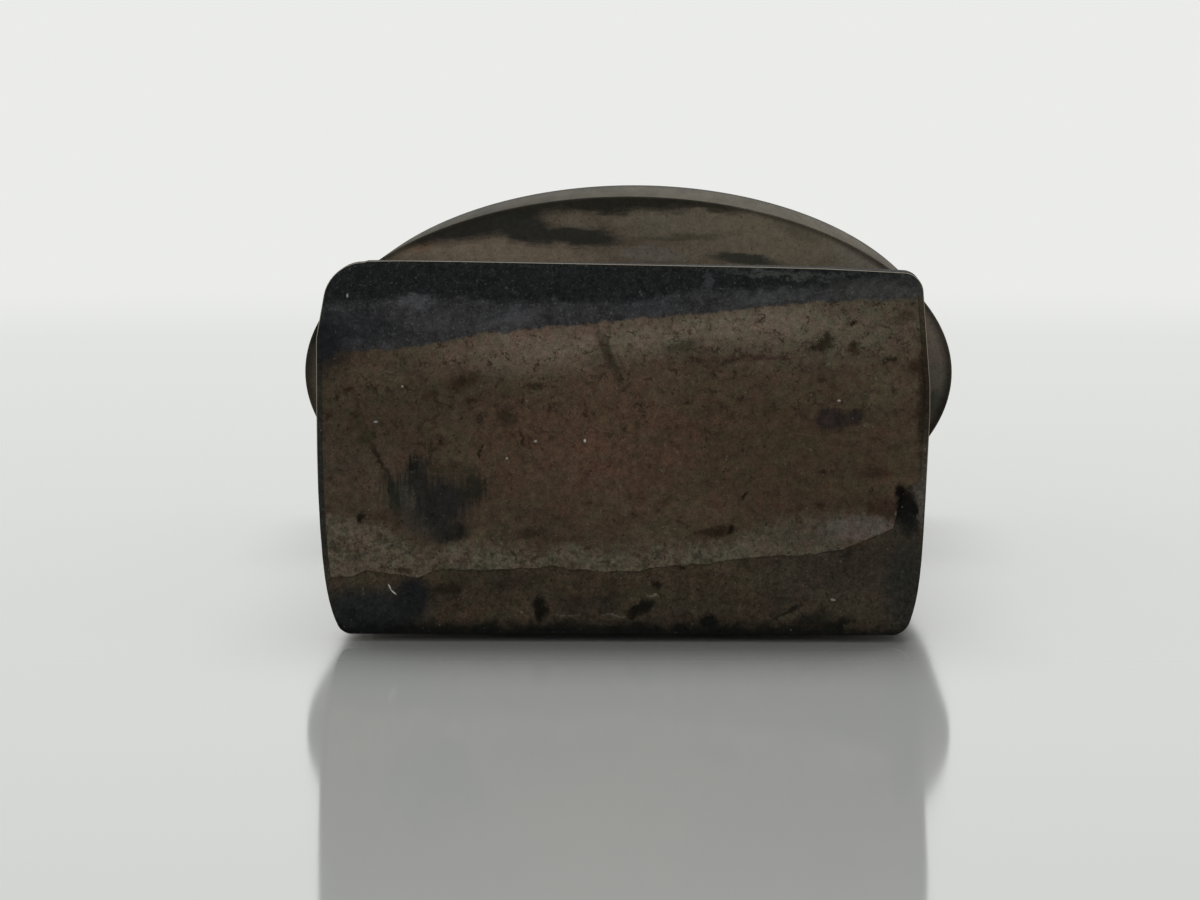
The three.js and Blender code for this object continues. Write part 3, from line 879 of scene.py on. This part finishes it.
def weathered(tree, colour, points, contrast=1.0):
    """Grain of two sizes, dark pits and pale flecks, through paper, wood and ink alike."""
    for size, depth in ((0.4, 0.4), (0.12, 0.36)):
        grain = mottle(tree, points, (size, size, size), 0.25, 0.75, detail=3.0, roughness=0.8)
        tone = add(tree, "ShaderNodeMapRange", {
            "Value": grain, "To Min": 1 - depth * contrast, "To Max": 1 + depth * contrast})
        colour = toned(tree, colour, tone.outputs[0])
    pits = mottle(tree, points, (0.24, 0.24, 0.28), 0.63, 0.69, 0.6 * contrast, detail=3.0)
    colour = layer(tree, colour, linear("#120e0a"), pits)
    flecks = mottle(tree, points, (0.2, 0.2, 0.22), 0.7, 0.74, 0.18 * contrast, detail=2.0)
    return layer(tree, colour, linear("#857d6d"), flecks)


def grained_wood(tree, points, pale, dark, pore):
    """Colour and height of a fine hardwood, its figure and pores drawn out along Y."""
    figure = mottle(tree, points, (1.3, 18.0, 1.3), 0.32, 0.68)
    pores = mottle(tree, points, (0.14, 1.6, 0.14), 0.55, 0.72, 0.7)
    colour = layer(tree, linear(pale), linear(dark), figure)
    return layer(tree, colour, linear(pore), pores), pores


def roughen(tree, shader, height, depth):
    """Bump from a height between 0 and 1, of a depth in millimetres."""
    bump = add(tree, "ShaderNodeBump", {"Height": height, "Distance": depth * MM, "Strength": 1.0})
    tree.links.new(bump.outputs[0], shader.inputs["Normal"])


def arris_highlight(tree, points):
    """A mask of the upper part of the edge round the grip's end, where a pale colour is painted as the
    highlight of the edge catching the light.
    """
    surface = add(tree, "ShaderNodeNewGeometry")
    facing = add(tree, "ShaderNodeSeparateXYZ", {0: surface.outputs["Normal"]}).outputs["Y"]
    place = add(tree, "ShaderNodeSeparateXYZ", {0: ragged(tree, points, (1.5, 1.5, 1.5), 1.5)})
    edge = add(tree, "ShaderNodeMapRange", {"Value": facing, "From Min": -0.97, "From Max": -0.85})
    flank = add(tree, "ShaderNodeMapRange", {"Value": facing, "From Min": -0.3, "From Max": -0.5})
    high = add(tree, "ShaderNodeMapRange", {
        "Value": place.outputs["Z"], "From Min": HIGHLIGHT_FROM, "From Max": HIGHLIGHT_TO, "To Max": 0.85})
    mask = add(tree, "ShaderNodeMath", {0: edge.outputs[0], 1: flank.outputs[0]}, operation="MULTIPLY")
    mask = add(tree, "ShaderNodeMath", {0: mask.outputs[0], 1: high.outputs[0]}, operation="MULTIPLY")
    return mask.outputs[0]


def ink_stained_beech():
    """Beech, planed and never varnished, brown with oil and ink: short dark flecks and a dull sheen."""
    material, tree, shader, points = new_material("ink_stained_beech", 0.6, 0.04)
    colour, pores = grained_wood(tree, points, "#3b342a", "#2b261e", "#17130e")
    grime = mottle(tree, points, (5.0, 5.0, 3.0), 0.42, 0.7, 0.6)
    colour = layer(tree, colour, linear("#1c1814"), grime)
    colour = blotched(tree, colour, points)
    blurred = ragged(tree, points, (0.5, 0.5, 0.5), 0.4)
    colour = draw_marks(tree, colour, blurred, WOOD_MARKS, end_plane)
    # Dark band along the foot of the end: ink grime, and painted shade near the floor
    foot = add(tree, "ShaderNodeMapRange", {
        "Value": rise_over(tree, ragged(tree, points, (0.8, 0.8, 0.8), 0.6), FOOT_EDGE),
        "From Min": 0.4, "From Max": -0.4, "To Max": 0.95}, interpolation_type="SMOOTHSTEP")
    colour = layer(tree, colour, linear("#0a0c0b"), foot.outputs[0])
    colour = end_ink(tree, colour, points)
    colour = weathered(tree, colour, points, 1.25)
    colour = draw_marks(tree, colour, points, WOOD_LINT, end_plane)
    # Painted highlight on the upper edge round the end
    colour = layer(tree, colour, linear("#8d8677"), arris_highlight(tree, points))
    tree.links.new(colour, shader.inputs["Base Color"])
    roughen(tree, shader, pores, -0.02)
    return material


def rubbed_beech():
    """The same beech on the base, paler, with smears of ink on its shoulder, and its side greyer, darker at
    the left and paler at the right.
    """
    material, tree, shader, points = new_material("rubbed_beech", 0.65, 0.08)
    colour, pores = grained_wood(tree, points, "#554d42", "#463f35", "#2b261f")
    grime = mottle(tree, points, (4.0, 4.0, 1.2), 0.45, 0.7, 0.5)
    colour = layer(tree, colour, linear("#2d2a24"), grime)
    drawn_out = ragged(tree, points, (2.0, 2.0, 0.5), 0.6)
    colour = draw_marks(tree, colour, drawn_out, SHOULDER_MARKS, shoulder_plane)
    size = base_high - base_low
    oval = add(tree, "ShaderNodeMapping", {
        "Vector": points, "Location": (base_middle.x / MM, 0, base_middle.z / MM),
        "Scale": (size.x / 2 / MM, 1e6, size.z / 2 / MM)}, vector_type="TEXTURE")
    reach = add(tree, "ShaderNodeVectorMath", {0: oval.outputs[0]}, operation="LENGTH")
    # Darker in a thin band round the outer edge of the oval
    rim = add(tree, "ShaderNodeMapRange", {
        "Value": reach.outputs["Value"], "From Min": 0.968, "From Max": 0.99, "To Max": 0.75})
    colour = layer(tree, colour, linear("#1d1b15"), rim.outputs[0])
    place = add(tree, "ShaderNodeSeparateXYZ", {0: points})
    side = add(tree, "ShaderNodeMapRange", {
        "Value": place.outputs["Y"],
        "From Min": base_low.y / MM + 0.1,
        "From Max": base_low.y / MM + 0.4})
    # The side of the oval: greyer wood, darker at the left and paler at the right
    side_wood = grained_wood(tree, points, "#46423a", "#332f29", "#1f1c18")[0]
    left_to_right_tone = add(tree, "ShaderNodeMapRange", {
        "Value": place.outputs["X"], "From Min": -12.0, "From Max": 14.0})
    tint = layer(tree, (0.8, 0.82, 0.8, 1), (1.3, 1.26, 1.16, 1), left_to_right_tone.outputs[0])
    colour = layer(tree, colour, toned(tree, side_wood, tint), side.outputs[0])
    place = add(tree, "ShaderNodeSeparateXYZ", {0: ragged(tree, points, (2.0, 2.0, 2.0), 1.2)})
    inked = add(tree, "ShaderNodeMapRange", {
        "Value": place.outputs["Y"],
        "From Min": base_high.y / MM - 4,
        "From Max": base_high.y / MM - 0.5,
        "To Max": 0.9})
    colour = layer(tree, colour, linear("#15151a"), inked.outputs[0])
    colour = weathered(tree, colour, points, 0.6)
    tree.links.new(colour, shader.inputs["Base Color"])
    roughen(tree, shader, pores, -0.02)
    return material


def pasted_paper():
    """Rag paper, browned by paste and handling: matt and felted, with bare pale fibres along the tear."""
    material, tree, shader, points = new_material("pasted_paper", 0.85, 0.04)
    felt = mottle(tree, points, (0.16, 0.16, 0.16), 0.3, 0.7)
    cloud = mottle(tree, points, (2.2, 2.2, 1.6), 0.35, 0.65)
    colour = layer(tree, linear("#332b23"), linear("#3f372c"), cloud)
    rise = rise_over(tree, ragged(tree, points, (0.6, 0.6, 0.6), 0.8), BARE_EDGE)
    bare = add(tree, "ShaderNodeMapRange", {
        "Value": rise, "From Min": 0.35, "From Max": -0.4, "To Max": 0.9})
    crumbs = mottle(tree, points, (0.3, 0.3, 0.26), 0.38, 0.6)
    gaps = mottle(tree, points, (0.24, 0.24, 0.24), 0.62, 0.66, 0.8)
    fibres = layer(tree, linear("#38342c"), linear("#4f4a3f"), crumbs)
    fibres = layer(tree, fibres, linear("#1f1a14"), gaps)
    colour = layer(tree, colour, fibres, bare.outputs[0])
    grainy = ragged(tree, ragged(tree, points, (0.5, 0.5, 0.5), 0.4), (0.1, 0.1, 0.1), 0.2)
    colour = draw_marks(tree, colour, grainy, PAPER_MARKS, end_plane)
    colour = blotched(tree, colour, points)
    flakes = add(tree, "ShaderNodeTexVoronoi", {
        "Vector": ragged(tree, points, (0.4, 0.4, 0.4), 0.5),
        "Scale": 1 / 0.9}, feature="DISTANCE_TO_EDGE")
    crazing = add(tree, "ShaderNodeMapRange", {
        "Value": flakes.outputs["Distance"], "From Min": 0.09, "From Max": 0.02})
    flaked = mottle(tree, points, (0.9, 0.9, 0.7), 0.48, 0.6, 0.75, roughness=0.7)
    under_ink = add(tree, "ShaderNodeMapRange", {
        "Value": rise_over(tree, points, SMEAR_EDGE), "From Min": -8.0, "From Max": -4.0, "To Min": 0.4})
    flaked = add(tree, "ShaderNodeMath", {0: flaked, 1: under_ink.outputs[0]}, operation="MULTIPLY")
    flaked = add(tree, "ShaderNodeMath", {
        0: flaked.outputs[0], 1: crazing.outputs[0]}, operation="MULTIPLY")
    colour = layer(tree, colour, linear("#1c1610"), flaked.outputs[0])
    brushed = ragged(tree, points, (0.16, 0.16, 2.0), 1.0)
    colour = draw_marks(tree, colour, brushed, BRUSHED_SMUDGE, end_plane)
    cracks = mottle(tree, points, (0.1, 0.1, 0.9), 0.68, 0.74, 0.6)
    colour = layer(tree, colour, linear("#1a150f"), cracks)
    colour = end_ink(tree, colour, points)
    colour = weathered(tree, colour, points)
    colour = draw_marks(tree, colour, points, LINT, end_plane)
    tree.links.new(colour, shader.inputs["Base Color"])
    roughen(tree, shader, felt, 0.03)
    return material


def sponge_rubber():
    """Open sponge rubber, cut with a knife: matt, grey-buff and full of small pits."""
    material, tree, shader, points = new_material("sponge_rubber", 0.9, 0.2)
    pits = add(tree, "ShaderNodeTexVoronoi", {"Vector": points, "Scale": 1 / 0.45})
    depth = add(tree, "ShaderNodeMapRange", {
        "Value": pits.outputs["Distance"], "From Min": 0.15, "From Max": 0.5})
    # The pits are coloured dark: painted shade inside the holes
    colour = layer(tree, linear("#2e2a25"), linear("#7b7263"), depth.outputs[0])
    stain = mottle(tree, points, (4.0, 2.0, 3.0), 0.45, 0.7, 0.8)
    colour = layer(tree, colour, linear("#26262b"), stain)
    tree.links.new(colour, shader.inputs["Base Color"])
    roughen(tree, shader, depth.outputs[0], 0.12)
    return material


def vulcanised_rubber():
    """Moulded red rubber, hardened with age: satin, with blue-black ink dried on its raised work."""
    material, tree, shader, points = new_material("vulcanised_rubber", 0.5, 0.35)
    cloud = mottle(tree, points, (2.0, 2.0, 2.0), 0.3, 0.7)
    colour = layer(tree, linear("#5a2f26"), linear("#45251f"), cloud)
    place = add(tree, "ShaderNodeSeparateXYZ", {0: ragged(tree, points, (0.6, 0.6, 0.6), 0.25)})
    inked = add(tree, "ShaderNodeMapRange", {
        "Value": place.outputs["Y"],
        "From Min": die_high.y / MM - 0.75,
        "From Max": die_high.y / MM - 0.25,
        "To Max": 0.95})
    colour = layer(tree, colour, linear("#14141c"), inked.outputs[0])
    dried = mottle(tree, points, (1.5, 1.5, 1.5), 0.5, 0.68, 0.75)
    colour = layer(tree, colour, linear("#1b1a21"), dried)
    tree.links.new(colour, shader.inputs["Base Color"])
    roughen(tree, shader, mottle(tree, points, (0.12, 0.12, 0.12), 0.3, 0.7), 0.01)
    return material


def bare_beech():
    """Turned beech rod, still pale inside the joint, with long pores along the rod."""
    material, tree, shader, points = new_material("bare_beech", 0.6, 0.3)
    figure = mottle(tree, points, (0.8, 12.0, 0.8), 0.3, 0.7)
    colour = layer(tree, linear("#b08e62"), linear("#93724b"), figure)
    tree.links.new(colour, shader.inputs["Base Color"])
    roughen(tree, shader, figure, 0.02)
    return material


# Stage

def make_floor():
    """Polished white board that mirrors the stamp and fades into the backdrop."""
    begin()
    bpy.ops.mesh.primitive_plane_add(size=FLOOR_SIZE * MM, location=(0, 0, -FLOOR_GAP * MM))
    floor = named("floor")
    material, tree, shader, points = new_material("polished_white_board", 0.07, 0.5)
    shader.inputs["Base Color"].default_value = linear("#a0a2a0")
    shader.inputs["IOR"].default_value = 1.6
    reach = add(tree, "ShaderNodeVectorMath", {0: points}, operation="LENGTH")
    fade = add(tree, "ShaderNodeMapRange", {
        "Value": reach.outputs["Value"], "From Min": FLOOR_FADES_TO, "From Max": FLOOR_FADES_FROM})
    tree.links.new(fade.outputs[0], shader.inputs["Alpha"])
    floor.data.materials.append(material)


def make_world():
    """Soft white studio light, with a pale backdrop that only the camera and reflections see."""
    world = bpy.data.worlds.new("studio")
    bpy.context.scene.world = world
    world.use_nodes = True
    tree = world.node_tree
    tree.nodes.clear()
    path = add(tree, "ShaderNodeLightPath")
    seen = add(tree, "ShaderNodeMath", {
        0: path.outputs["Is Camera Ray"], 1: path.outputs["Is Glossy Ray"]}, operation="MAXIMUM")
    seen = add(tree, "ShaderNodeMath", {
        0: seen.outputs[0], 1: path.outputs["Is Transmission Ray"]}, operation="MAXIMUM")
    studio = add(tree, "ShaderNodeBackground", {"Color": (1, 1, 1, 1), "Strength": 0.55})
    backdrop = add(tree, "ShaderNodeBackground", {"Color": linear("#ebece9"), "Strength": 1.0})
    mix = add(tree, "ShaderNodeMixShader", {
        0: seen.outputs[0], 1: studio.outputs[0], 2: backdrop.outputs[0]})
    add(tree, "ShaderNodeOutputWorld", {"Surface": mix.outputs[0]})


def make_lamp(name, place, size, power):
    """A round soft box aimed at the stamp, in metres and watts, kept out of the floor's mirror."""
    begin()
    bpy.ops.object.light_add(type="AREA", location=place)
    lamp = bpy.context.object
    lamp.name = name
    lamp.data.shape = "DISK"
    lamp.data.size = size
    lamp.data.energy = power
    lamp.visible_glossy = False
    lamp.rotation_euler = (Vector((0, 0, 0.01)) - Vector(place)).to_track_quat("-Z", "Y").to_euler()


def make_camera():
    """A long lens at the photograph's viewing angle."""
    begin()
    x, y, z = CAMERA_PLACE
    bpy.ops.object.camera_add(
        location=(x * MM, end_plane + y * MM, z * MM),
        rotation=(math.radians(90 - CAMERA_PITCH), 0, math.radians(CAMERA_YAW)))
    camera = bpy.context.object
    camera.data.sensor_width = 36
    camera.data.lens = CAMERA_LENS
    camera.data.clip_start = 0.01
    bpy.context.scene.camera = camera


make_camera()
make_floor()
make_world()
make_lamp("overhead", place=(0.0, 0.5, 1.2), size=1.0, power=19)
make_lamp("front_fill", place=(-0.4, -1.4, 0.3), size=0.8, power=13)
bpy.context.scene.view_settings.view_transform = "Standard"

grip = make_grip()
label = make_label(grip)
dress(grip, "grip", ink_stained_beech())
dress(label, "paper_label", pasted_paper())
dress(make_base(), "base", rubbed_beech())
cushion = make_cushion()
dress(cushion, "cushion", sponge_rubber())
dress(make_die(), "rubber_die", vulcanised_rubber())
dowel_wood = bare_beech()
for name in ("dowel_left", "dowel_right"):
    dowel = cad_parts[name]
    dowel.data.materials.clear()
    dowel.data.materials.append(dowel_wood)

begin()
